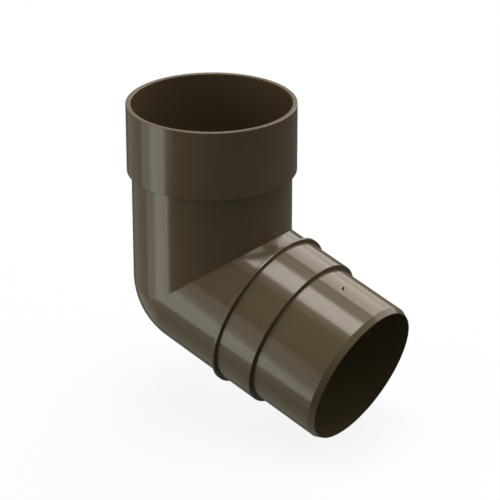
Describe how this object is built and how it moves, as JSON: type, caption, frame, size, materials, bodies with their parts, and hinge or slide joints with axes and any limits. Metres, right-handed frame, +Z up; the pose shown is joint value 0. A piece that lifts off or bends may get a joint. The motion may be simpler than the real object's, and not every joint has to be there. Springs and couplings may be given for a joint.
{
  "type": "downspout elbow",
  "caption": "Plastic rainwater downspout elbow: an upright socket for the pipe above, a mitred bend, and a sloping ridged branch that steps down to a chamfered spigot.",
  "frame": {"origin": "on the socket's axis at the pipe stop, where the end of the pipe above rests", "axes": "+Z points up out of the socket's mouth, +X is the side that the branch leaves towards, and the elbow is alike on both sides of the plane y = 0"},
  "size_m": [0.1485, 0.0856, 0.1583],
  "materials": {
    "pvc": "dark olive brown moulded PVC, satin to gloss"
  },
  "bodies": {
    "root": {"elbow": "pvc"}
  },
  "joints": []
}
